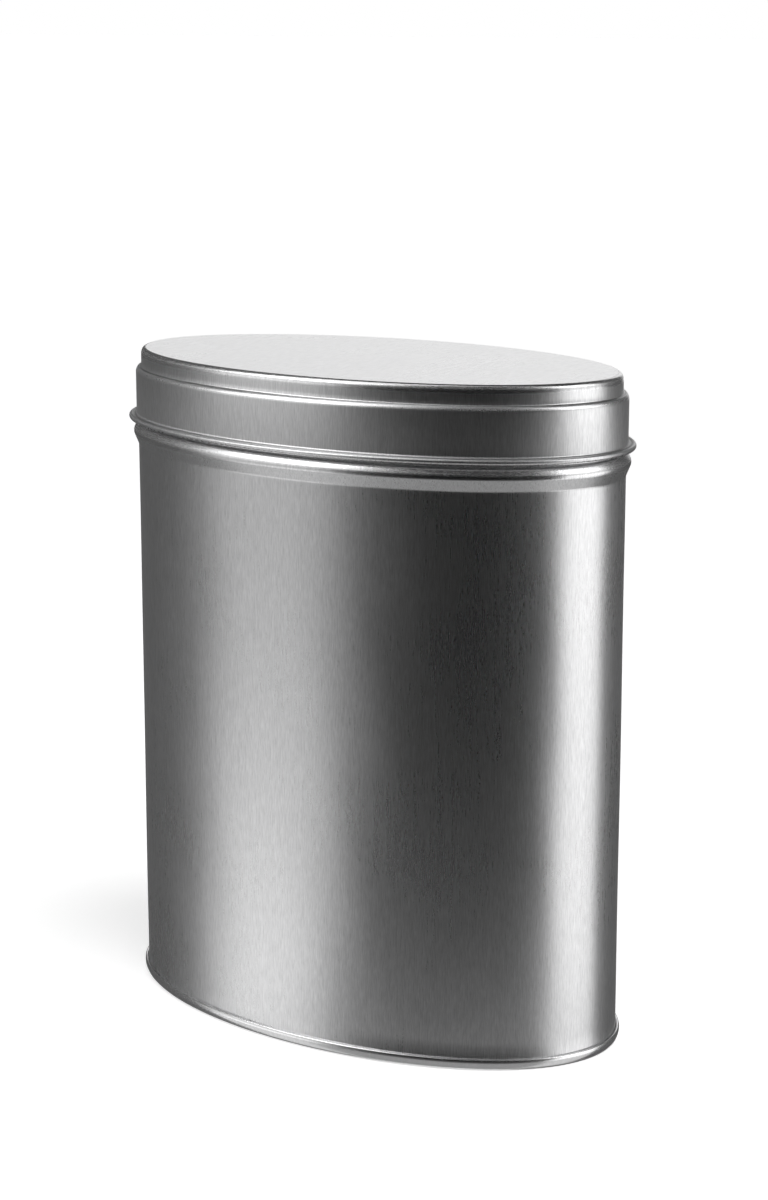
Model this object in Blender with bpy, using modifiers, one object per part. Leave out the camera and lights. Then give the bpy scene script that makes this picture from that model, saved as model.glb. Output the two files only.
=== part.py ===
"""Oval tea tin of plain tinplate: a wall with a double-seamed base, and a lid that slips over its neck.

Metres, +Z up. The origin is the middle of the base, on the surface that the tin stands on. The long
axis of the oval lies along X. Run with: blender --background --python part.py
"""

from math import atan2, cos, degrees, radians, sin, sqrt, tan

import bmesh
import bpy

# Overall size: the oval is measured outside the wall, the height to the top of the lid
wall_length = 0.13125
wall_width = 0.0750
overall_height = 0.1585

# Sheet, and the gaps between pieces
sheet = 0.00023
lid_gap = 0.0003
curl_gap = 0.00178
fold_gap = 0.00008

# Lid: a raised flat panel, a step down to a shoulder, a skirt, and a curl at the skirt's edge
panel_edge_radius = 0.0012
step_height = 0.0046
step_inset = 0.00133
crease_radius = 0.00025
shoulder_radius = 0.0006
lid_depth = 0.0173
flare_radius = 0.00115
curl_radius = 0.00067
curl_end_angle = -200

# Wall: a hem at the neck's rim, a bead that the lid comes down to, and the plain wall below it
neck_inset = 0.0001
hem_radius = 0.0009
hem_end_angle = 250
bead_proud = 0.00115
bead_radius = 0.0019
bead_top_fillet = 0.0015
bead_slope_angle = 22
bead_foot_radius = 0.0020

# Base: a panel set up inside a double seam
seam_height = 0.0027
base_recess = 0.0030
recess_radius = 0.0004
hook_end_gap = 0.0004
base_step_rise = 0.0008
base_step_inset = 0.0060
base_step_run = 0.0008

# Side seam: the blank's two edges locked and folded flat inside, with a fine line outside
fold_width = 0.0035
fold_end_gap = 0.0015
line_width = 0.0003
line_depth = 0.00012
line_from_fold_edge = 0.0003
cut_overrun = 0.0010

# Facets round the oval, a multiple of four, and in the bends of the sheet
oval_facets = 56
bend_facets = 2
edge_facets = 4
roll_facets = 6
smooth_below_angle = 35

# Lines that the pieces share, as distances outside the wall's outer face
neck_out = -neck_inset
skirt_in = neck_out + lid_gap
skirt_out = skirt_in + sheet
band_out = skirt_out - step_inset

# Heights that the pieces share
shoulder_z = overall_height - step_height
neck_top = shoulder_z - sheet - lid_gap
curl_centre = (skirt_out + flare_radius, overall_height - lid_depth + curl_radius)
bead_centre_out = bead_proud - bead_radius
bead_to_curl = curl_radius + bead_radius + curl_gap
bead_centre = (
    bead_centre_out,
    curl_centre[1] - sqrt(bead_to_curl**2 - (curl_centre[0] - bead_centre_out) ** 2),
)


def clear_scene():
    for obj in list(bpy.data.objects):
        bpy.data.objects.remove(obj, do_unlink=True)


def new_collection(name):
    collection = bpy.data.collections.new(name)
    bpy.context.scene.collection.children.link(collection)
    return collection


def tinplate(name, colour, roughness):
    """A bare metal finish of its own for each piece."""
    material = bpy.data.materials.new(name)
    material.use_nodes = True
    shader = material.node_tree.nodes["Principled BSDF"]
    shader.inputs["Base Color"].default_value = (*colour, 1)
    shader.inputs["Metallic"].default_value = 1
    shader.inputs["Roughness"].default_value = roughness
    return material


def arc(centre, radius, start, end, facets):
    """Points on a circle from one angle to another in degrees, both ends included."""
    points = []
    for step in range(facets + 1):
        angle = radians(start + (end - start) * step / facets)
        points.append((centre[0] + radius * cos(angle), centre[1] + radius * sin(angle)))
    return points


def fillet_above(line_out, fillet_radius, roll_centre, roll_radius):
    """The hollow arc that leads an upright line down and out onto a roll, and the roll's angle there."""
    sideways = line_out + fillet_radius - roll_centre[0]
    upwards = sqrt((fillet_radius + roll_radius) ** 2 - sideways**2)
    angle = degrees(atan2(upwards, sideways))
    centre = (line_out + fillet_radius, roll_centre[1] + upwards)
    return arc(centre, fillet_radius, 180, 180 + angle, bend_facets), angle


def lid_profile():
    """The lid's outer face from the rim of its panel to the end of its curl."""
    band_top = (band_out - panel_edge_radius, overall_height - panel_edge_radius)
    crease = (band_out + crease_radius, shoulder_z + crease_radius)
    shoulder = (skirt_out - shoulder_radius, shoulder_z - shoulder_radius)
    flare, join_angle = fillet_above(skirt_out, flare_radius, curl_centre, curl_radius)
    curl_top = arc(curl_centre, curl_radius, join_angle, 0, edge_facets)
    curl_under = arc(curl_centre, curl_radius, 0, curl_end_angle, roll_facets)
    return (
        arc(band_top, panel_edge_radius, 90, 0, edge_facets)
        + arc(crease, crease_radius, 180, 270, bend_facets)
        + arc(shoulder, shoulder_radius, 90, 0, bend_facets)
        + flare
        + curl_top[1:]
        + curl_under[1:]
    )


def bead_foot():
    """The bead's straight lower slope and the hollow arc that ends it on the wall."""
    angle = radians(bead_slope_angle)
    slope_top = (
        bead_centre[0] + bead_radius * cos(angle),
        bead_centre[1] - bead_radius * sin(angle),
    )
    foot_out = bead_foot_radius * (1 - cos(angle))
    slope_drop = (slope_top[0] - foot_out) / tan(angle)
    foot_z = slope_top[1] - slope_drop - bead_foot_radius * sin(angle)
    return arc((bead_foot_radius, foot_z), bead_foot_radius, 180 - bead_slope_angle, 180, bend_facets)


def hook_radius():
    """The inside radius of a seam's fold, which goes round one sheet and a gap on each side of it."""
    return sheet / 2 + fold_gap


def wall_profile():
    """The wall's outer face from the end of the hem at its rim to the tip of its hook in the base seam."""
    hem_centre = (neck_out - hem_radius, neck_top - hem_radius)
    hem = arc(hem_centre, hem_radius, hem_end_angle, 0, roll_facets)
    fillet, join_angle = fillet_above(neck_out, bead_top_fillet, bead_centre, bead_radius)
    bead = arc(bead_centre, bead_radius, join_angle, -bead_slope_angle, edge_facets)
    hook_centre = (hook_radius(), 2 * sheet + fold_gap + hook_radius())
    hook = arc(hook_centre, hook_radius(), 180, 360, edge_facets)
    hook_tip = (2 * hook_radius(), seam_height - sheet - hook_end_gap)
    return hem + fillet + bead[1:] + bead_foot() + hook + [hook_tip]


def base_profile():
    """The base's outer face from the tip of its hook, round the seam and up to the rim of its panel."""
    bend_radius = hook_radius() + sheet
    seam_out = 3 * (sheet + fold_gap)
    seam_in = -2 * sheet - fold_gap
    hook_centre = (seam_out - bend_radius, seam_height - bend_radius)
    hook = arc(hook_centre, bend_radius, 180, 0, edge_facets)
    hook_tip = (fold_gap, 2 * sheet + fold_gap + hook_end_gap)
    rim_out = arc((seam_out - bend_radius, bend_radius), bend_radius, 0, -90, bend_facets)
    rim_in = arc((seam_in + bend_radius, bend_radius), bend_radius, 270, 180, bend_facets)
    recess_centre = (seam_in - recess_radius, base_recess - recess_radius)
    recess = arc(recess_centre, recess_radius, 0, 90, bend_facets)
    step = (recess_centre[0] - base_step_inset, base_recess)
    panel = (step[0] - base_step_run, base_recess + base_step_rise)
    return [hook_tip] + hook + rim_out + rim_in + recess + [step, panel]


def poly_curve(name, points, closed):
    """A flat curve with straight stretches between its points."""
    data = bpy.data.curves.new(name, "CURVE")
    data.dimensions = "2D"
    data.fill_mode = "NONE"
    spline = data.splines.new("POLY")
    spline.points.add(len(points) - 1)
    for point, (x, y) in zip(spline.points, points):
        point.co = (x, y, 0, 1)
    spline.use_cyclic_u = closed
    curve = bpy.data.objects.new(name, data)
    bpy.context.scene.collection.objects.link(curve)
    return curve


def oval_points():
    """Points round the wall's outer face."""
    points = []
    for step in range(oval_facets):
        angle = radians(360 * step / oval_facets)
        points.append((wall_length / 2 * cos(angle), wall_width / 2 * sin(angle)))
    return points


def swept_sheet(name, profile):
    """The open surface that a profile makes when it is carried round the oval, facing out of the tin.

    Blender turns a section's +X into the oval, so the profile is mirrored, and the faces with it.
    """
    section = poly_curve(name + "_section", [(-out, z) for out, z in profile], False)
    oval = poly_curve(name + "_oval", oval_points(), True)
    oval.data.bevel_mode = "OBJECT"
    oval.data.bevel_object = section
    bpy.context.view_layer.update()
    graph = bpy.context.evaluated_depsgraph_get()
    mesh = bpy.data.meshes.new_from_object(oval.evaluated_get(graph))
    mesh.name = name
    mesh.flip_normals()
    bpy.data.objects.remove(oval, do_unlink=True)
    bpy.data.objects.remove(section, do_unlink=True)
    return mesh


def fill_panel(mesh, height):
    """Closes the open rim that lies within half a sheet of this height with a flat panel."""
    work = bmesh.new()
    work.from_mesh(mesh)
    rim = []
    for edge in work.edges:
        if edge.is_boundary and all(abs(v.co.z - height) < sheet / 2 for v in edge.verts):
            rim.append(edge)
    bmesh.ops.holes_fill(work, edges=rim, sides=0)
    work.to_mesh(mesh)
    work.free()


def sheet_piece(name, mesh, collection, parent, material):
    """A piece of tinplate: the mesh is its outer face, and the sheet's thickness lies inside it."""
    mesh.shade_smooth()
    mesh.set_sharp_from_angle(angle=radians(smooth_below_angle))
    mesh.materials.clear()
    mesh.materials.append(material)
    piece = bpy.data.objects.new(name, mesh)
    collection.objects.link(piece)
    piece.parent = parent
    wall = piece.modifiers.new("sheet", "SOLIDIFY")
    wall.thickness = sheet
    wall.offset = -1
    wall.use_even_offset = True
    return piece


def box(name, low, high, collection, parent):
    """A hidden block between two corners, for a Boolean."""
    mesh = bpy.data.meshes.new(name)
    work = bmesh.new()
    bmesh.ops.create_cube(work, size=1)
    for vertex in work.verts:
        for axis in range(3):
            vertex.co[axis] = high[axis] if vertex.co[axis] > 0 else low[axis]
    work.to_mesh(mesh)
    work.free()
    block = bpy.data.objects.new(name, mesh)
    block.hide_render = True
    block.display_type = "WIRE"
    block.parent = parent
    collection.objects.link(block)
    return block


def boolean(piece, other, operation):
    modifier = piece.modifiers.new(other.name, "BOOLEAN")
    modifier.operation = operation
    modifier.solver = "EXACT"
    modifier.object = other


def empty(name, location, collection, parent=None):
    marker = bpy.data.objects.new(name, None)
    marker.empty_display_size = wall_width / 2
    marker.location = location
    marker.parent = parent
    collection.objects.link(marker)
    return marker


def make_wall(parts, cutters, root):
    """The wall, with its side seam at the middle of the back."""
    profile = wall_profile()
    mesh = swept_sheet("body_wall", profile)
    piece = sheet_piece("body_wall", mesh, parts, root, tinplate("wall_tinplate", (0.76, 0.76, 0.765), 0.3))
    back = wall_width / 2
    fold_bottom = base_recess + base_step_rise + sheet + fold_end_gap
    fold_top = bead_foot()[-1][1] - fold_end_gap
    fold = box(
        "side_seam_fold",
        (-fold_width / 2, back - 3 * sheet, fold_bottom),
        (fold_width / 2, back - sheet / 2, fold_top),
        cutters,
        root,
    )
    boolean(piece, fold, "UNION")
    line_x = fold_width / 2 - line_from_fold_edge
    line = box(
        "side_seam_line",
        (line_x - line_width, back - line_depth, fold_bottom),
        (line_x, back + cut_overrun, fold_top),
        cutters,
        root,
    )
    boolean(piece, line, "DIFFERENCE")
    return piece


def make_base(parts, root):
    """The base, pressed from one sheet, its edge rolled round the wall's edge."""
    mesh = swept_sheet("base_end", base_profile())
    fill_panel(mesh, base_recess + base_step_rise)
    return sheet_piece("base_end", mesh, parts, root, tinplate("base_tinplate", (0.75, 0.75, 0.755), 0.32))


def make_lid(parts, lift):
    """The lid, drawn from one sheet. Its origin is on the lift's axis, at the shoulder's height."""
    profile = [(out, z - shoulder_z) for out, z in lid_profile()]
    mesh = swept_sheet("lid", profile)
    fill_panel(mesh, step_height)
    return sheet_piece("lid", mesh, parts, lift, tinplate("lid_tinplate", (0.80, 0.80, 0.805), 0.27))


def main():
    clear_scene()
    parts = new_collection("tea_tin")
    cutters = new_collection("cutters")
    root = empty("tin_axis", (0, 0, 0), parts)
    lift = empty("lid_lift", (0, 0, shoulder_z), parts, root)
    make_wall(parts, cutters, root)
    make_base(parts, root)
    make_lid(parts, lift)


main()
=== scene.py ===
import bpy
import numpy as np
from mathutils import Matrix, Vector


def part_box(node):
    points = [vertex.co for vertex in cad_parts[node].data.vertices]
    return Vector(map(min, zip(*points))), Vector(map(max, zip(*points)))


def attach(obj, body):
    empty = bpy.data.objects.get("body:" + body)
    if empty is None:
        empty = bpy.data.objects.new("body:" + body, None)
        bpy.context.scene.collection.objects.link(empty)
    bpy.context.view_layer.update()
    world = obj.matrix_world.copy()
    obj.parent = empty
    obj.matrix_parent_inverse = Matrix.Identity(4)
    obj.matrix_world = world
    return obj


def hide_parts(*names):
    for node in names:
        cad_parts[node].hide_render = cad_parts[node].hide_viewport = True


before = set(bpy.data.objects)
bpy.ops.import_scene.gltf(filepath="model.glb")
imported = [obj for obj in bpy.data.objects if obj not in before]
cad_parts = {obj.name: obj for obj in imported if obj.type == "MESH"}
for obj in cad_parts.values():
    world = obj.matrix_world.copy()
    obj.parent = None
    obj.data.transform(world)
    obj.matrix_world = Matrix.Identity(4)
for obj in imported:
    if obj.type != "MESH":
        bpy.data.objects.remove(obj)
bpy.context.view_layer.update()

# Oval tea tin of bare tinplate: the looks of its wall, its double-seamed base and its slip lid.
# Metres and degrees. Each piece is one profile of the sheet's outer face, carried round the tin's
# oval. "out" is a distance outside the wall's outer face, and below zero it is inside.

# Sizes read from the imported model
seam_out = 0.00093
base_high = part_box("base_end")[1]
half_length = base_high.x - seam_out
half_width = base_high.y - seam_out
top_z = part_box("lid")[1].z

# Sheet
sheet = 0.00023

# Lid: panel, step, shoulder, skirt and curl. An ease is the wide last part of a corner: its radius, and
# the angle at which it takes over from the tight part.
panel_edge_radius = 0.0012
panel_ease = (0.0040, 14)
step_height = 0.0046
band_out = -0.0009
crease_radius = 0.0004
shoulder_radius = 0.0004
shoulder_ease = (0.0018, 45)
skirt_out = 0.00043
flare_radius = 0.0006
curl_radius = 0.00067
curl_centre = (0.00158, top_z - 0.01663)
curl_end_angle = -200
# Painted shade darkens the last part of the crease and the first part of the curl over this angle, and the
# last part of the flare over the next one
painted_shade_angle = 60
flare_painted_shade_angle = 85

# Wall: hem, neck, bead and hook. The bead's ease is its wide crown, from that angle up.
neck_out = -0.0001
hem_radius = 0.0009
hem_end_angle = 250
hem_top = top_z - 0.00513
bead_centre = (-0.00075, top_z - 0.02030)
bead_radius = 0.0019
bead_ease = (0.0055, 20)
bead_top_fillet = 0.0003
bead_slope_angle = 22
bead_foot_radius = 0.0020
hook_radius = 0.000195
hook_bottom = 0.00054
hook_tip = 0.00207

# Base: a seam with a rounded face, and a panel set up inside it
seam_height = 0.0027
seam_face_radius = 0.0026
seam_top_radius = 0.0003
seam_top_angle = 12
seam_bottom_radius = 0.0006
base_hook_out = 0.00008
base_hook_foot = 0.00094
chuck_out = -0.00054
recess_z = 0.0030
recess_radius = 0.0004
panel_step_out = -0.00694
panel_step_run = 0.0008
panel_step_rise = 0.0008
panel_step_angle = 45
panel_step_radius = 0.0006

# Side seam at the middle of the back: folded inside, and a fine line outside
fold_half_width = 0.00175
fold_depth = 0.00046
fold_edge = 0.00012
line_x = 0.0013
line_half_width = 0.00015
line_depth = 0.00012
line_edge = 0.00006
lap_depth = 0.00005
fold_ends = (0.0055, top_z - 0.02541)
fold_run_out = 0.0008

# How fine the meshes are: degrees from row to row on round stretches, and numbers of rows and stations
roll_step = 7
small_step = 9
wide_step = 4
hem_step = 13.5
foot_step = 3
wall_hook_step = 30
base_hook_step = 18
sharp_angle = 50
stations = 400
seam_stations = 60
seam_reach = 0.0031
wall_rows = 22
panel_rings = 14

# Unevenness of the sheet itself
wall_wave = 0.000035
panel_wave = 0.00003


def oval(angle, out):
    """Points a distance outside the tin's oval, for each out (rows) and each angle (columns).

    With A and B half the length and width: x = A cos t + d nx and y = B sin t + d ny, where (nx, ny)
    is (B cos t, A sin t) made one long, the oval's own outward direction.
    """
    out = np.asarray(out, float)[:, None]
    normal = np.stack([half_width * np.cos(angle), half_length * np.sin(angle)])
    normal /= np.linalg.norm(normal, axis=0)
    x = half_length * np.cos(angle) + out * normal[0]
    y = half_width * np.sin(angle) + out * normal[1]
    return np.stack(np.broadcast_arrays(x, y), axis=-1), normal.T


def angles(with_seam=False):
    """The oval's angle at each station: even steps, with finer ones across the side seam if asked."""
    even = np.arange(stations) * 2 * np.pi / stations
    if not with_seam:
        return even
    reach = seam_reach / half_length
    fine = np.pi / 2 + np.linspace(-reach, reach, seam_stations)
    clear = np.abs(even - np.pi / 2) > reach + np.pi / stations
    return np.sort(np.concatenate([even[clear], fine]))


def turn(centre, radius, start, end, hollow=False, polish_and_shade=0.0, painted_shade=None, step=roll_step):
    """A round stretch of a profile: rows of out, z, the two parts of the face's direction, and a value for
    polish and painted shade.

    The points are centre + radius (cos a, sin a), with a from start to end in even steps. The face looks away
    from the centre, or towards it where the stretch is hollow. The polish value is how much handling polishes
    it, its colour lift partly a painted highlight, and fades as a sine towards both ends. The painted shade,
    if given, is how much it darkens the stretch at its start and its end instead, and counts as polish below
    zero.
    """
    count = max(3, int(np.ceil(abs(end - start) / step)) + 1)
    share = np.linspace(0, 1, count)
    a = np.radians(start + (end - start) * share)
    direction = np.stack([np.cos(a), np.sin(a)], axis=1)
    points = np.array(centre) + radius * direction
    face = -direction if hollow else direction
    if painted_shade is None:
        polish_and_shade_rows = polish_and_shade * np.sin(np.pi * share)
    else:
        polish_and_shade_rows = -(painted_shade[0] * (1 - share) + painted_shade[1] * share)
    return np.column_stack([points, face, polish_and_shade_rows])


def straight(start, end, face_angle, rows, with_start=False, with_end=False):
    """A straight stretch whose face looks at one angle: start (1 - s) + end s, without its ends unless
    they are asked for, because the round stretches beside it have them.
    """
    first, last = int(not with_start), rows + 1 + int(with_end)
    share = np.linspace(0, 1, rows + 2)[first:last, None]
    points = np.array(start) * (1 - share) + np.array(end) * share
    face = np.broadcast_to([np.cos(np.radians(face_angle)), np.sin(np.radians(face_angle))], points.shape)
    return np.column_stack([points, face, np.zeros(len(points))])


def fillet_above(line_out, fillet_radius, roll_centre, roll_radius):
    """Centre of the hollow arc that leads an upright line onto a roll, and the angle where they meet."""
    sideways = line_out + fillet_radius - roll_centre[0]
    upwards = np.sqrt((fillet_radius + roll_radius) ** 2 - sideways**2)
    return (line_out + fillet_radius, roll_centre[1] + upwards), np.degrees(np.arctan2(upwards, sideways))


def eased_corner(line_out, flat_z, radius, ease, polish_and_shade=0.0, painted_shade=None):
    """A corner that turns down from a flat onto an upright line, and the height where it reaches it.

    A tight arc turns from 90 degrees to the ease's angle, and one of the ease's radius goes on to 0.
    The polish value covers both, its colour lift partly a painted highlight, unless painted shade is given
    for the tight one.
    """
    ease_radius, ease_angle = ease
    ease = np.radians(ease_angle)
    tight = np.array([line_out - radius - (ease_radius - radius) * (1 - np.cos(ease)), flat_z - radius])
    wide = tight - (ease_radius - radius) * np.array([np.cos(ease), np.sin(ease)])
    rows = [
        turn(tight, radius, 90, ease_angle, polish_and_shade=polish_and_shade, painted_shade=painted_shade),
        turn(wide, ease_radius, ease_angle, 0, polish_and_shade=polish_and_shade, step=wide_step)[1:],
    ]
    return np.concatenate(rows), wide[1]


def eased_crease(line_out, flat_z, radius, ease):
    """A hollow that turns from an upright line onto a flat below it, and the height where it starts.

    An arc of the ease's radius turns from 180 degrees by the ease's angle, and a tight one goes on to 270.
    Painted shade darkens the last part of it.
    """
    ease_radius, ease_angle = ease
    ease = np.radians(ease_angle)
    tight = np.array([line_out + radius + (ease_radius - radius) * (1 - np.cos(ease)), flat_z + radius])
    wide = tight + (ease_radius - radius) * np.array([np.cos(ease), np.sin(ease)])
    rows = [
        turn(wide, ease_radius, 180, 180 + ease_angle, hollow=True),
        turn(tight, radius, 180 + ease_angle, 270 - painted_shade_angle, hollow=True, step=small_step)[1:],
        turn(tight, radius, 270 - painted_shade_angle, 270, hollow=True, painted_shade=(0, 1), step=small_step)[1:],
    ]
    return np.concatenate(rows), wide[1]


def lid_profile():
    """The lid's outer face from the rim of its panel to the end of its curl.

    Painted shade darkens it where the shoulder meets the step, and where the curl meets the skirt.
    """
    shoulder_z = top_z - step_height
    panel_edge, edge_end = eased_corner(band_out, top_z, panel_edge_radius, panel_ease, polish_and_shade=0.7)
    crease, crease_start = eased_crease(band_out, shoulder_z, crease_radius, panel_ease)
    shoulder, shoulder_end = eased_corner(
        skirt_out, shoulder_z, shoulder_radius, shoulder_ease, polish_and_shade=0.3, painted_shade=(1, 0))
    flare, meet = fillet_above(skirt_out, flare_radius, curl_centre, curl_radius)
    # The flare is plain up to this angle, and painted shade darkens the rest of it
    painted_shade_start = 180 + meet - flare_painted_shade_angle
    return np.concatenate([
        panel_edge,
        straight((band_out, edge_end), (band_out, crease_start), 0, rows=2),
        crease,
        shoulder,
        straight((skirt_out, shoulder_end), (skirt_out, flare[1]), 0, rows=6),
        turn(flare, flare_radius, 180, painted_shade_start, hollow=True, step=small_step),
        turn(flare, flare_radius, painted_shade_start, 180 + meet, hollow=True, painted_shade=(0, 1), step=small_step)[1:],
        turn(curl_centre, curl_radius, meet, meet - painted_shade_angle, painted_shade=(1, 0), step=small_step)[1:],
        turn(curl_centre, curl_radius, meet - painted_shade_angle, curl_end_angle, polish_and_shade=1.0, step=small_step)[1:],
    ])


def wall_profile():
    """The wall's outer face from the end of the hem at its rim to the tip of its hook in the base seam."""
    hem_centre = (neck_out - hem_radius, hem_top - hem_radius)
    ease_radius, ease_angle = bead_ease
    ease = np.radians(ease_angle)
    crown = np.array(bead_centre) - (ease_radius - bead_radius) * np.array([np.cos(ease), np.sin(ease)])
    fillet, meet = fillet_above(neck_out, bead_top_fillet, crown, ease_radius)
    slope = np.radians(bead_slope_angle)
    slope_top = (bead_centre[0] + bead_radius * np.cos(slope), bead_centre[1] - bead_radius * np.sin(slope))
    foot_out = bead_foot_radius * (1 - np.cos(slope))
    foot_z = slope_top[1] - (slope_top[0] - foot_out) / np.tan(slope) - bead_foot_radius * np.sin(slope)
    hook = (hook_radius, hook_bottom + hook_radius)
    return np.concatenate([
        turn(hem_centre, hem_radius, hem_end_angle, 0, polish_and_shade=0.5, step=hem_step),
        straight((neck_out, hem_centre[1]), (neck_out, fillet[1]), 0, rows=3),
        turn(fillet, bead_top_fillet, 180, 180 + meet, hollow=True, step=small_step),
        turn(crown, ease_radius, meet, ease_angle, polish_and_shade=0.4, step=wide_step)[1:],
        turn(bead_centre, bead_radius, ease_angle, -bead_slope_angle, polish_and_shade=0.8, step=wide_step)[1:],
        turn((bead_foot_radius, foot_z), bead_foot_radius, 180 - bead_slope_angle, 180,
             hollow=True, step=foot_step),
        straight((0, foot_z), (0, hook[1]), 0, rows=wall_rows),
        turn(hook, hook_radius, 180, 360, hollow=True, step=wall_hook_step),
        straight((2 * hook_radius, hook[1]), (2 * hook_radius, hook_tip), 180, rows=1, with_end=True),
    ])


def base_profile():
    """The base's outer face from the tip of its hook, over the seam and up to the rim of its panel.

    The seam's face is an arc that stands out most at face_z, with a tighter arc above and below it.
    The lower one meets the floor, and its angle comes from the height that is left.
    """
    face_rise = (seam_face_radius - seam_top_radius) * np.sin(np.radians(seam_top_angle))
    face_z = seam_height - seam_top_radius - face_rise
    face_centre = np.array([seam_out - seam_face_radius, face_z])
    drop = (face_z - seam_bottom_radius) / (seam_face_radius - seam_bottom_radius)
    low_angle = -np.degrees(np.arcsin(drop))

    def on_face(angle, radius):
        a = np.radians(angle)
        return face_centre + (seam_face_radius - radius) * np.array([np.cos(a), np.sin(a)])

    top = on_face(seam_top_angle, seam_top_radius)
    low = on_face(low_angle, seam_bottom_radius)
    base_hook_radius = top[0] - base_hook_out
    hook = (top[0], seam_height - base_hook_radius)
    inner_radius = low[0] - chuck_out
    bend = panel_step_radius * np.tan(np.radians(panel_step_angle) / 2)
    step_top = (panel_step_out - panel_step_run, recess_z + panel_step_rise)
    recess = (chuck_out - recess_radius, recess_z - recess_radius)
    return np.concatenate([
        straight((base_hook_out, base_hook_foot), (base_hook_out, hook[1]), 180, rows=2, with_start=True),
        turn(hook, base_hook_radius, 180, 90, step=base_hook_step),
        turn(top, seam_top_radius, 90, seam_top_angle, polish_and_shade=0.3)[1:],
        turn(face_centre, seam_face_radius, seam_top_angle, low_angle, polish_and_shade=0.9, step=wide_step)[1:],
        turn(low, seam_bottom_radius, low_angle, -90)[1:],
        turn((low[0], inner_radius), inner_radius, 270, 180, step=small_step)[1:],
        turn(recess, recess_radius, 0, 90, hollow=True, step=small_step),
        straight((recess[0], recess_z), (panel_step_out, recess_z), 270, rows=3),
        turn((panel_step_out + bend, recess_z + panel_step_radius), panel_step_radius,
             270, 270 - panel_step_angle, step=small_step),
        turn((step_top[0] - bend, step_top[1] - panel_step_radius), panel_step_radius,
             90 - panel_step_angle, 90, hollow=True, step=small_step),
    ])


def smooth(value, low, high):
    """0 below low, 1 above high, and 3s^2 - 2s^3 between them."""
    s = np.clip((value - low) / (high - low), 0, 1)
    return s * s * (3 - 2 * s)


def band(value, centre, reach, edge):
    """1 within reach of centre, falling smoothly to 0 over edge on both sides."""
    return 1 - smooth(np.abs(value - centre), reach - edge / 2, reach + edge / 2)


def wall_unevenness(x, z, angle):
    """How far the wall lies off its true surface: long low waves, as sheet that was bent cold has.

    A sum of four sines of the oval's angle and the height, two of them times a sine of the height
    alone, faded out at the bead and the base seam.
    """
    waves = (
        np.sin(5 * angle + 60 * z + 0.7) * np.sin(38 * z + 0.4)
        + 0.7 * np.sin(9 * angle - 45 * z + 2.1)
        + 0.5 * np.sin(13 * angle + 25 * z + 4.0) * np.sin(70 * z)
        + 0.3 * np.sin(23 * angle + 90 * z + 1.3)
    )
    inside = smooth(z, 0.003, 0.02) * (1 - smooth(z, fold_ends[1] - 0.012, fold_ends[1]))
    return wall_wave * waves * inside


def side_seam(x, y, z, inner):
    """How far the side seam moves the wall's faces: its fold pushes the inner face in, and a fine line
    is let into the outer one. Above and below the fold, where the edges only lap, the line is shallow.
    """
    back = (y > 0).astype(float)
    run = smooth(z, fold_ends[0] - fold_run_out, fold_ends[0])
    run = run * (1 - smooth(z, fold_ends[1], fold_ends[1] + fold_run_out))
    fold = band(x, 0, fold_half_width, fold_edge) * fold_depth * run
    depth = lap_depth + (line_depth - lap_depth) * run
    line = band(x, line_x, line_half_width, line_edge) * depth
    return -back * np.where(inner, fold, line)


def sheet_rows(profile, angle, shift=None):
    """Both faces of a sheet whose outer face follows the profile, as rows of points round the oval.

    Rows run along the outer face and back along the inner one, which lies a sheet's thickness behind
    it: point - sheet * face direction. shift(x, y, z, inner) moves points along the oval's normal.
    """
    outer = profile[:, :2]
    inner = (profile[:, :2] - sheet * profile[:, 2:4])[::-1]
    section = np.concatenate([outer, inner])
    is_inner = np.repeat([False, True], [len(outer), len(inner)])[:, None]
    plan, normal = oval(angle, section[:, 0])
    z = np.broadcast_to(section[:, 1][:, None], plan.shape[:2])
    if shift is not None:
        plan = plan + shift(plan[..., 0], plan[..., 1], z, is_inner)[..., None] * normal
    polish_and_shade = np.concatenate([profile[:, 4], np.zeros(len(inner))])
    return np.dstack([plan, z]), polish_and_shade


def rings(rim, count, bulge):
    """Rows that close a flat panel: the rim's row scaled towards the middle, s = 1 - k / (count + 1).

    bulge(x, y) is added to the height, so that the panel isn't dead flat.
    """
    s = 1 - np.arange(1, count + 1)[:, None, None] / (count + 1)
    rows = rim[None] * np.array([1, 1, 0]) * s + rim[None] * np.array([0, 0, 1])
    rows[..., 2] += bulge(rows[..., 0], rows[..., 1])
    return rows


def panel_bulge(x, y):
    """Shallow hollows in a stamped panel, none at the tin's oval: a sum of sines that never rises above
    zero, times 1 - (x / A)^2 - (y / B)^2.
    """
    inside = np.clip(1 - (x / half_length) ** 2 - (y / half_width) ** 2, 0, 1)
    waves = np.sin(70 * x + 20 * y + 0.5) + 0.8 * np.sin(110 * y - 35 * x + 1.9) + 0.4 * np.sin(190 * x + 2.7)
    return panel_wave * inside * (waves - 2.2)


def grid_quads(count, around, last):
    """Corners of the quads that join each row to the next one and each station to the next one.

    There are last rows of quads. The last station joins the first, and so does the last row if last is
    the count of rows.
    """
    row = np.arange(last)[:, None]
    column = np.arange(around)[None, :]
    after_row = (row + 1) % count
    after = (column + 1) % around
    return np.stack(np.broadcast_arrays(
        row * around + column, after_row * around + column,
        after_row * around + after, row * around + after), axis=-1)


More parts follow.
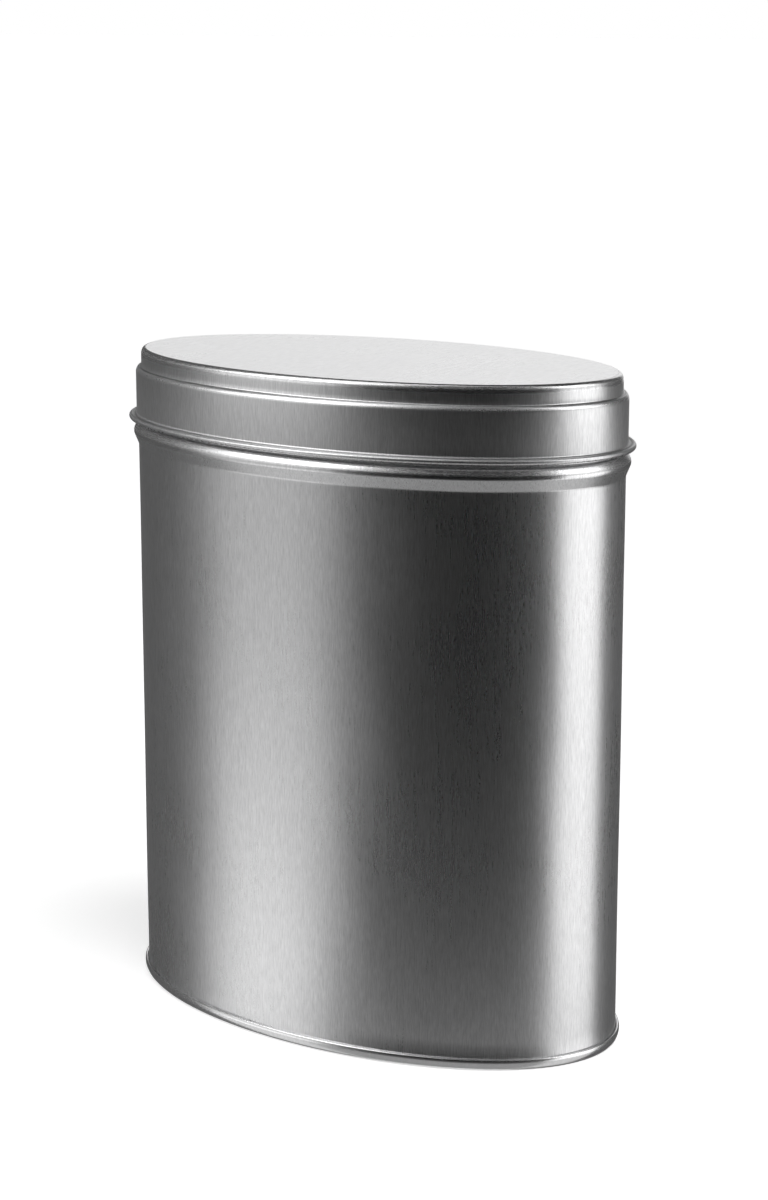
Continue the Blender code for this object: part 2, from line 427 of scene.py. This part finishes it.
def unrolled_uv(rows, angle, last):
    """UV of each quad's corners: the distance round the tin's oval and along the profile, in metres."""
    along = np.concatenate([[0], np.cumsum(np.linalg.norm(np.diff(rows[:, 0], axis=0), axis=1))])
    along = np.append(along, along[-1] + np.linalg.norm(rows[0, 0] - rows[-1, 0]))
    edge = oval(np.append(angle, angle[0] + 2 * np.pi), [0.0])[0][0]
    round_it = np.concatenate([[0], np.cumsum(np.linalg.norm(np.diff(edge, axis=0), axis=1))])
    row = np.arange(last)[:, None]
    column = np.arange(len(angle))[None, :]
    u = np.stack(np.broadcast_arrays(
        round_it[column], round_it[column], round_it[column + 1], round_it[column + 1]), axis=-1)
    v = np.stack([along[row], along[row + 1], along[row + 1], along[row]], axis=-1)
    return np.stack(np.broadcast_arrays(u, v), axis=-1)


def mesh_object(name, points, loops, sizes, uv, values):
    """An object from its points, the corners of all its faces in one list, how many corners each face
    has, the UV of each corner, and attributes that have a value for each point.
    """
    mesh = bpy.data.meshes.new(name)
    mesh.vertices.add(len(points))
    mesh.vertices.foreach_set("co", points.astype(np.float32).reshape(-1))
    mesh.loops.add(len(loops))
    mesh.loops.foreach_set("vertex_index", loops.astype(np.int32))
    mesh.polygons.add(len(sizes))
    mesh.polygons.foreach_set("loop_start", (np.cumsum(sizes) - sizes).astype(np.int32))
    mesh.update(calc_edges=True)
    layer = mesh.uv_layers.new(name="sheet")
    layer.data.foreach_set("uv", uv.astype(np.float32).reshape(-1))
    for value_name, data in values.items():
        layer = mesh.attributes.new(value_name, "FLOAT", "POINT")
        layer.data.foreach_set("value", data.astype(np.float32))
    mesh.validate()
    mesh.shade_smooth()
    mesh.set_sharp_from_angle(angle=np.radians(sharp_angle))
    piece = bpy.data.objects.new(name, mesh)
    bpy.context.scene.collection.objects.link(piece)
    return piece


def mesh_piece(name, rows, polish_and_shade, angle, panels=False):
    """A closed mesh from rows of points round the oval.

    The rows close on themselves. Where the piece has panels, they end in a pole at each end instead,
    and the UV map is x and y there. Attribute "panel" is 1 on the panels, and "rub" is as in turn().
    """
    count, around = rows.shape[:2]
    last = count - 1 if panels else count
    points = rows.reshape(-1, 3)
    quads = grid_quads(count, around, last)
    uv = unrolled_uv(rows, angle, last)
    loops = quads.reshape(-1)
    sizes = np.full(last * around, 4)
    polish_and_shade = np.repeat(polish_and_shade, around)
    flat = np.zeros(len(points))
    if panels:
        uv[:panel_rings] = points[quads[:panel_rings], :2]
        uv[-panel_rings:] = points[quads[-panel_rings:], :2]
        flat[: (panel_rings + 1) * around] = 1
        flat[(count - panel_rings - 1) * around:] = 1

        points = np.concatenate([points, [rows[0].mean(axis=0), rows[-1].mean(axis=0)]])
        here = np.arange(around)
        there = (here + 1) % around
        pole = np.full(around, count * around)
        last_row = (count - 1) * around
        first_fan = np.stack([pole, here, there], axis=1)
        last_fan = np.stack([last_row + here, pole + 1, last_row + there], axis=1)
        fans = np.concatenate([first_fan, last_fan]).reshape(-1)
        loops = np.concatenate([loops, fans])
        sizes = np.append(sizes, np.full(2 * around, 3))
        uv = np.concatenate([uv.reshape(-1, 2), points[fans, :2]])
        polish_and_shade = np.append(polish_and_shade, [0, 0])
        flat = np.append(flat, [1, 1])
    return mesh_object(name, points, loops, sizes, uv, {"polish_and_shade": polish_and_shade, "panel": flat})


def make_wall():
    """The wall, a ring of sheet with finer stations at its side seam."""
    angle = angles(with_seam=True)

    def shift(x, y, z, inner):
        return side_seam(x, y, z, inner) + wall_unevenness(x, z, angle[None, :])

    rows, polish_and_shade = sheet_rows(wall_profile(), angle, shift)
    return mesh_piece("wall_sheet", rows, polish_and_shade, angle)


def panel_piece(name, rows, polish_and_shade, angle):
    """A sheet whose first and last rows are the rims of its panel, which rings then close."""
    first_panel = rings(rows[0], panel_rings, panel_bulge)[::-1]
    last_panel = rings(rows[-1], panel_rings, panel_bulge)
    rows = np.concatenate([first_panel, rows, last_panel])
    polish_and_shade = np.concatenate([np.zeros(panel_rings), polish_and_shade, np.zeros(panel_rings)])
    return mesh_piece(name, rows, polish_and_shade, angle, panels=True)


def make_base():
    """The base. Its profile ends at the panel, so its rows start with the inner face's."""
    angle = angles()
    rows, polish_and_shade = sheet_rows(base_profile(), angle)
    half = len(rows) // 2
    rows = np.roll(rows, half, axis=0)
    polish_and_shade = np.roll(polish_and_shade, half)
    return panel_piece("base_sheet", rows, polish_and_shade, angle)


def make_lid():
    """The lid, whose profile starts at the panel."""
    angle = angles()
    rows, polish_and_shade = sheet_rows(lid_profile(), angle)
    return panel_piece("lid_sheet", rows, polish_and_shade, angle)


wall = make_wall()
base = make_base()
lid = make_lid()

# Finish: how wide and long the marks in the metal are, and their noise's detail and roughness
streak_width = 0.00024
streak_length = 0.0030
streak_noise = (3, 0.72)
brush_width = 0.0009
brush_length = 0.030
brush_noise = (2, 0.5)
cloud_size = 0.035
cloud_noise = (3, 0.55)
speck_size = 0.0008
speck_noise = (1, 0.5)
speck_start = 0.68
speck_gain = 3.0

# Finish: how much each of them changes the metal's shade and its roughness
streak_shade = 0.80
streak_rough = 0.03
brush_shade = 0.10
brush_rough = 0.02
cloud_shade = 0.10
cloud_rough = 0.05
speck_shade = -0.04
# Polished rolled edges: the colour lift is partly wear and partly a painted highlight, the roughness drop is
# polish
polish_and_sheen_lift = 0.2
polish_sheen_shade = 0.08
worn_rough = -0.12
# How much painted shade darkens the creases, the flare's end and the curl's top
crease_painted_shade = -0.8
# Towards the bottom of the lid the sheet gets darker and rougher
downward_darkening = -0.12
downward_roughening = 0.07
rolled_calm = 0.8
bump_distance = 0.0000004
brush_height = 0.5


def value_node(nodes, kind, **settings):
    """A node of a kind, with its own settings."""
    node = nodes.new(kind)
    for key, value in settings.items():
        setattr(node, key, value)
    return node


def math_node(tree, operation, first, second, clamp=False):
    """A Math node; each input is a socket or a number."""
    node = value_node(tree.nodes, "ShaderNodeMath", operation=operation, use_clamp=clamp)
    for socket, value in zip(node.inputs, (first, second)):
        if hasattr(value, "node"):
            tree.links.new(value, socket)
        else:
            socket.default_value = value
    return node.outputs[0]


def noise(tree, place, size, detail, rough):
    """Noise on Object coordinates whose cells are size (x, y, z) metres; the factor is about 0.5."""
    mapping = tree.nodes.new("ShaderNodeMapping")
    mapping.inputs["Scale"].default_value = [1 / s for s in size]
    tree.links.new(place, mapping.inputs["Vector"])
    node = tree.nodes.new("ShaderNodeTexNoise")
    node.inputs["Scale"].default_value = 1
    node.inputs["Detail"].default_value = detail
    node.inputs["Roughness"].default_value = rough
    tree.links.new(mapping.outputs["Vector"], node.inputs["Vector"])
    return node.outputs["Fac"]


def blend_value(tree, mask, first, second):
    """first where the mask is 0, second where it is 1."""
    node = tree.nodes.new("ShaderNodeMix")
    tree.links.new(mask, node.inputs["Factor"])
    tree.links.new(first, node.inputs["A"])
    tree.links.new(second, node.inputs["B"])
    return node.outputs["Result"]


def attribute(tree, name):
    """The value of a mesh attribute."""
    node = value_node(tree.nodes, "ShaderNodeAttribute", attribute_name=name)
    return node.outputs["Fac"]


def straight_marks(tree, place, panel, width, length, detail, rough):
    """Noise drawn out along Z on the sides, and along Y on the panels."""
    side = noise(tree, place, (width, width, length), detail, rough)
    flat = noise(tree, place, (width, length, width), detail, rough)
    return blend_value(tree, panel, side, flat)


def scaled(tree, socket, amount):
    """A socket times an amount, which may be a socket too."""
    return math_node(tree, "MULTIPLY", socket, amount)


def swing(tree, socket, amount):
    """A noise's swing about its middle, times an amount."""
    return scaled(tree, math_node(tree, "SUBTRACT", socket, 0.5), amount)


def total(tree, *terms):
    """The sum of some sockets and numbers."""
    result = terms[0]
    for term in terms[1:]:
        result = math_node(tree, "ADD", result, term)
    return result


def fall_between(tree, place, heights):
    """0 at the first height, rising evenly to 1 at the second one."""
    split = tree.nodes.new("ShaderNodeSeparateXYZ")
    tree.links.new(place, split.inputs["Vector"])
    fall = tree.nodes.new("ShaderNodeMapRange")
    tree.links.new(split.outputs["Z"], fall.inputs["Value"])
    fall.inputs["From Min"].default_value, fall.inputs["From Max"].default_value = heights
    return fall.outputs["Result"]


def tinplate(name, colour, roughness, anisotropy, grain=1.0, darkening_heights=None):
    """Satin tinplate. Fine upright grain on the sides and straight grain along Y on the panels, wide faint
    brush bands, cloudy stains, specks in the tin, rolled edges that handling has polished, whose colour is
    lifted as well, partly wear and partly a painted highlight, and painted shade in the creases. grain is how
    much of the grain this piece shows. From the first of the two heights given for the darkening to the
    second, if they are given, the sheet gets rougher and darker towards the bottom.
    """
    material = bpy.data.materials.new(name)
    material.use_nodes = True
    tree = material.node_tree
    shader = tree.nodes["Principled BSDF"]
    shader.inputs["Metallic"].default_value = 1
    shader.inputs["Anisotropic"].default_value = anisotropy
    place = tree.nodes.new("ShaderNodeTexCoord").outputs["Object"]
    panel = attribute(tree, "panel")
    polish_and_shade = attribute(tree, "polish_and_shade")

    streak = straight_marks(tree, place, panel, streak_width, streak_length, *streak_noise)
    brush = straight_marks(tree, place, panel, brush_width, brush_length, *brush_noise)
    cloud = noise(tree, place, (cloud_size, cloud_size, cloud_size), *cloud_noise)
    speck = noise(tree, place, (speck_size, speck_size, speck_size), *speck_noise)
    speck = math_node(tree, "SUBTRACT", speck, speck_start, clamp=True)
    speck = math_node(tree, "MULTIPLY", speck, speck_gain, clamp=True)
    # Polish, from values above zero: smoother rolled edges whose colour is lifted too, partly wear and partly
    # a painted highlight
    polish_and_sheen = math_node(tree, "MULTIPLY", polish_and_shade, math_node(tree, "ADD", brush, polish_and_sheen_lift), clamp=True)
    # Painted shade, from values below zero: it darkens the creases
    painted_shade_mask = math_node(tree, "MULTIPLY", polish_and_shade, -1.0, clamp=True)
    rolled = math_node(tree, "ABSOLUTE", polish_and_shade, 0.0, clamp=True)
    calm = math_node(tree, "SUBTRACT", 1.0, scaled(tree, rolled, rolled_calm), clamp=True)
    grainy = total(tree, swing(tree, streak, streak_rough * grain), swing(tree, brush, brush_rough * grain))
    shades = [
        1.0, swing(tree, streak, streak_shade * grain), swing(tree, brush, brush_shade * grain),
        swing(tree, cloud, cloud_shade), scaled(tree, speck, speck_shade), scaled(tree, polish_and_sheen, polish_sheen_shade),
        scaled(tree, painted_shade_mask, crease_painted_shade),
    ]
    roughs = [
        roughness, scaled(tree, grainy, calm), swing(tree, cloud, cloud_rough),
        scaled(tree, polish_and_sheen, worn_rough),
    ]
    # Darker and rougher towards the bottom, between the two heights
    if darkening_heights is not None:
        fall = fall_between(tree, place, darkening_heights)
        shades.append(scaled(tree, fall, downward_darkening))
        roughs.append(scaled(tree, fall, downward_roughening))

    tint = tree.nodes.new("ShaderNodeVectorMath")
    tint.operation = "SCALE"
    tint.inputs[0].default_value = colour
    tree.links.new(total(tree, *shades), tint.inputs["Scale"])
    tree.links.new(tint.outputs["Vector"], shader.inputs["Base Color"])
    tree.links.new(total(tree, *roughs), shader.inputs["Roughness"])

    tangent = value_node(tree.nodes, "ShaderNodeTangent", direction_type="UV_MAP", uv_map="sheet")
    tree.links.new(tangent.outputs["Tangent"], shader.inputs["Tangent"])
    bump = tree.nodes.new("ShaderNodeBump")
    bump.inputs["Strength"].default_value = 1
    bump.inputs["Distance"].default_value = bump_distance * grain
    tree.links.new(total(tree, streak, scaled(tree, brush, brush_height)), bump.inputs["Height"])
    tree.links.new(bump.outputs["Normal"], shader.inputs["Normal"])
    return material


# The three pieces are of one tinplate. The base's colour and, less so, the lid's are set brighter than the
# wall's: painted light that brightens their reflections
wall.data.materials.append(tinplate("wall tinplate", (0.76, 0.76, 0.765), 0.28, 0.67))
base.data.materials.append(tinplate("base tinplate", (0.90, 0.90, 0.905), 0.26, 0.50, grain=0.3))
lid.data.materials.append(tinplate(
    "lid tinplate", (0.82, 0.82, 0.825), 0.28, 0.67, grain=0.9, darkening_heights=(top_z, curl_centre[1])))

for piece, body, node, slot in (
    (wall, "tin", "body_wall", "wall_tinplate"),
    (base, "tin", "base_end", "base_tinplate"),
    (lid, "lid", "lid", "lid_tinplate"),
):
    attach(piece, body)
    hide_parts(node)

# Camera: it stands at the tin's front right and looks slightly down at it. The lens and the film are
# in millimetres, and the film's height is its longer side.
camera_place = (0.36681, -0.50766, 0.23838)
camera_heading = 35.625
camera_dip = 12.454
camera_lens = 80.17
film_height = 36


def make_camera():
    """The camera, level from side to side."""
    data = bpy.data.cameras.new("camera")
    data.sensor_fit = "AUTO"
    data.sensor_width = film_height
    data.lens = camera_lens
    camera = bpy.data.objects.new("camera", data)
    camera.location = camera_place
    camera.rotation_euler = (np.radians(90 - camera_dip), 0, np.radians(camera_heading))
    bpy.context.scene.collection.objects.link(camera)
    bpy.context.scene.camera = camera


make_camera()

# Studio: a pale floor and background, lamps, and cards that only the metal sees
white = (1, 1, 1, 1)
floor_size = 40.0
floor_colour = 0.85
floor_lift = 0.53
background = 1.0
ambient = 0.25
sun_heading = -20
sun_height = 68
sun_softness = 22
sun_strength = 1.05
card_columns = 49


def seen_by_metal(tree):
    """1 for camera, glossy and transmission rays, 0 for the rays that light things."""
    path = tree.nodes.new("ShaderNodeLightPath")
    seen = math_node(tree, "ADD", path.outputs["Is Camera Ray"], path.outputs["Is Glossy Ray"], clamp=True)
    return math_node(tree, "ADD", seen, path.outputs["Is Transmission Ray"], clamp=True)


def make_world():
    """A white background, seen by the camera and the metal, that lights things far less."""
    world = bpy.data.worlds.new("studio")
    world.use_nodes = True
    tree = world.node_tree
    light = tree.nodes["Background"]
    light.inputs["Color"].default_value = white
    seen = seen_by_metal(tree)
    strength = math_node(tree, "ADD", math_node(tree, "MULTIPLY", seen, background - ambient), ambient)
    tree.links.new(strength, light.inputs["Strength"])
    bpy.context.scene.world = world


def make_floor():
    """A matt white floor that keeps shadows, with a light of its own where it is seen.

    The metal looks through it, at the cards and at the same white beyond them.
    """
    half = floor_size / 2
    corners = np.array([[-1, -1], [1, -1], [1, 1], [-1, 1]]) * half
    mesh = bpy.data.meshes.new("floor")
    mesh.from_pydata(np.column_stack([corners, np.zeros(4)]).tolist(), [], [[0, 1, 2, 3]])
    material = bpy.data.materials.new("white floor")
    material.use_nodes = True
    tree = material.node_tree
    shader = tree.nodes["Principled BSDF"]
    shader.inputs["Base Color"].default_value = (floor_colour, floor_colour, floor_colour, 1)
    shader.inputs["Roughness"].default_value = 0.9
    shader.inputs["Specular IOR Level"].default_value = 0.0
    shader.inputs["Emission Color"].default_value = white
    lift = math_node(tree, "MULTIPLY", seen_by_metal(tree), floor_lift)
    tree.links.new(lift, shader.inputs["Emission Strength"])
    mesh.materials.append(material)
    floor = bpy.data.objects.new("floor", mesh)
    floor.visible_glossy = False
    floor.visible_shadow = False
    bpy.context.scene.collection.objects.link(floor)


def make_sun():
    """A broad sun high over the front right: it lights the floor alone, and throws the tin's shadow."""
    data = bpy.data.lights.new("high sun", "SUN")
    data.energy = sun_strength
    data.angle = np.radians(sun_softness)
    lamp = bpy.data.objects.new("high sun", data)
    heading, height = np.radians(sun_heading), np.radians(sun_height)
    towards = Vector((np.cos(heading) * np.cos(height), np.sin(heading) * np.cos(height), np.sin(height)))
    lamp.rotation_euler = towards.to_track_quat("Z", "Y").to_euler()
    lamp.visible_glossy = False
    bpy.context.scene.collection.objects.link(lamp)


def softbox(name, heading, distance, height, size, radiance, aim_height):
    """A flat soft lamp at a heading round the tin, in degrees from +X, that faces a height on its axis.

    radiance is how bright it looks, where 1 is white: its power is radiance times pi times its area.
    """
    data = bpy.data.lights.new(name, "AREA")
    data.shape = "RECTANGLE"
    data.size, data.size_y = size
    data.energy = radiance * np.pi * size[0] * size[1]
    lamp = bpy.data.objects.new(name, data)
    a = np.radians(heading)
    lamp.location = (distance * np.cos(a), distance * np.sin(a), height)
    aim = Vector((0, 0, aim_height)) - lamp.location
    lamp.rotation_euler = aim.to_track_quat("-Z", "Y").to_euler()
    bpy.context.scene.collection.objects.link(lamp)


def card_finish():
    """The cards' one finish: each gives the light that its attribute "shade" says."""
    material = bpy.data.materials.new("card")
    material.use_nodes = True
    tree = material.node_tree
    tree.nodes.remove(tree.nodes["Principled BSDF"])
    paint = tree.nodes.new("ShaderNodeEmission")
    paint.inputs["Color"].default_value = white
    tree.links.new(attribute(tree, "shade"), paint.inputs["Strength"])
    tree.links.new(paint.outputs["Emission"], tree.nodes["Material Output"].inputs["Surface"])
    return material


def card(name, rows, finish):
    """A card that stands round the tin and that the metal alone sees.

    Each row is (out, z, first angle, last angle, shade): a strip of the oval at that distance, placed
    by oval() like the tin's own faces. The card runs from row to row, and its shade with it.
    """
    rows = np.array(rows, float)
    share = np.linspace(0, 1, card_columns)
    strips = []
    for out, z, first, last in rows[:, :4]:
        plan = oval(np.radians(first + (last - first) * share), [out])[0]
        strips.append(np.column_stack([plan[0], np.full(card_columns, z)]))
    points = np.concatenate(strips)
    row = np.arange(len(rows) - 1)[:, None] * card_columns
    near = row + np.arange(card_columns - 1)[None, :]
    far = near + card_columns
    quads = np.stack([near, near + 1, far + 1, far], axis=-1).reshape(-1, 4)
    mesh = bpy.data.meshes.new(name)
    mesh.from_pydata(points.tolist(), [], quads.tolist())
    shades = mesh.attributes.new("shade", "FLOAT", "POINT")
    shades.data.foreach_set("value", np.repeat(rows[:, 4], card_columns).astype(np.float32))
    mesh.materials.append(finish)
    piece = bpy.data.objects.new(name, mesh)
    for ray in ("camera", "diffuse", "transmission", "volume_scatter", "shadow"):
        setattr(piece, "visible_" + ray, False)
    bpy.context.scene.collection.objects.link(piece)


# The cards stand in one ring, which goes on below the floor, so that the whole wall sees it from its
# top to its foot. Steep looks down from the bead, the curl and the seam end on the cards under it.
ring = 0.40
ring_foot = -0.17
ring_top = 0.165


def make_cards():
    """Two bright banks, left and right of the camera, with dark cards before, between and behind them."""
    finish = card_finish()
    card("left bank", [
        (ring, ring_foot, -158.0, -122.3, 1.28), (ring, -0.150, -158.0, -121.5, 1.24),
        (ring, -0.115, -158.0, -118.3, 1.01), (ring, -0.072, -158.0, -116.9, 0.88),
        (ring, -0.030, -158.0, -114.9, 0.735), (ring, 0.010, -158.0, -114.7, 0.65),
        (ring, 0.050, -158.0, -114.1, 0.60), (ring, ring_top, -158.0, -115.0, 0.67)], finish)
    card("front card", [
        (ring, ring_foot, -122.3, -11.9, 0.13), (ring, -0.150, -121.5, -11.3, 0.105),
        (ring, -0.115, -118.3, -10.2, 0.055), (ring, -0.072, -116.9, -8.2, 0.030),
        (ring, -0.030, -114.9, -7.8, 0.012), (ring, 0.010, -114.7, -7.2, 0.008),
        (ring, 0.050, -114.1, -7.2, 0.006), (ring, ring_top, -115.0, -7.2, 0.006),
        (ring, 0.360, -115.0, -7.2, 0.010)], finish)
    card("front card high", [
        (ring, 0.36, -115, -7, 0.03), (ring, 0.70, -115, -7, 0.06), (0.0, 1.15, -115, -7, 0.07)], finish)
    card("right bank", [
        (ring, ring_foot, -11.9, 21.0, 1.14), (ring, -0.150, -11.3, 21.2, 1.16),
        (ring, -0.115, -10.2, 21.5, 1.20), (ring, -0.072, -8.2, 22.2, 1.24),
        (ring, -0.030, -7.8, 23.8, 1.25), (ring, 0.010, -7.2, 24.4, 1.32),
        (ring, 0.050, -7.2, 24.0, 1.41), (ring, ring_top, -7.2, 24.0, 1.41)], finish)
    card("right side", [
        (ring, ring_foot, 21.0, 95, 0.09), (ring, -0.072, 22.2, 95, 0.08), (ring, 0.050, 24.0, 95, 0.08),
        (ring, 0.85, 24.0, 95, 0.08)], finish)
    card("left side", [
        (ring, ring_foot, -208, -158.0, 0.09), (ring, 0.85, -208, -158.0, 0.08)], finish)
    card("back card", [
        (ring, ring_foot, 95, 152, 0.08), (ring, 0.10, 95, 152, 0.08)], finish)
    card("left floor card", [
        (0.0, ring_foot, -158.0, -122.3, 0.66), (ring, ring_foot, -158.0, -122.3, 0.66)], finish)
    card("front floor card", [
        (0.0, ring_foot, -122.3, -11.9, 0.27), (ring, ring_foot, -122.3, -11.9, 0.27)], finish)
    card("right floor card", [
        (0.0, ring_foot, -11.9, 21.0, 0.60), (ring, ring_foot, -11.9, 21.0, 0.60)], finish)
    card("side floor card", [
        (0.0, ring_foot, 21.0, 199.4, 0.10), (ring, ring_foot, 21.0, 199.4, 0.10)], finish)
    card("ceiling card", [
        (0.9, 0.68, 0, 180, 0.02), (0.2, 0.80, 0, 180, 0.04), (0.0, 0.90, 0, 180, 0.07)], finish)
    card("left high card", [(0.50, 0.38, -152, -112, 3.0), (0.40, 0.80, -152, -112, 3.0)], finish)


make_world()
make_floor()
make_sun()
softbox("right softbox", heading=8, distance=0.50, height=0.50, size=(0.45, 0.35), radiance=1.5,
        aim_height=0.15)
softbox("left softbox", heading=-131, distance=0.62, height=0.62, size=(0.50, 0.50), radiance=1.5,
        aim_height=0.12)
make_cards()

view = bpy.context.scene.view_settings
view.view_transform = "Standard"

bpy.context.view_layer.update()
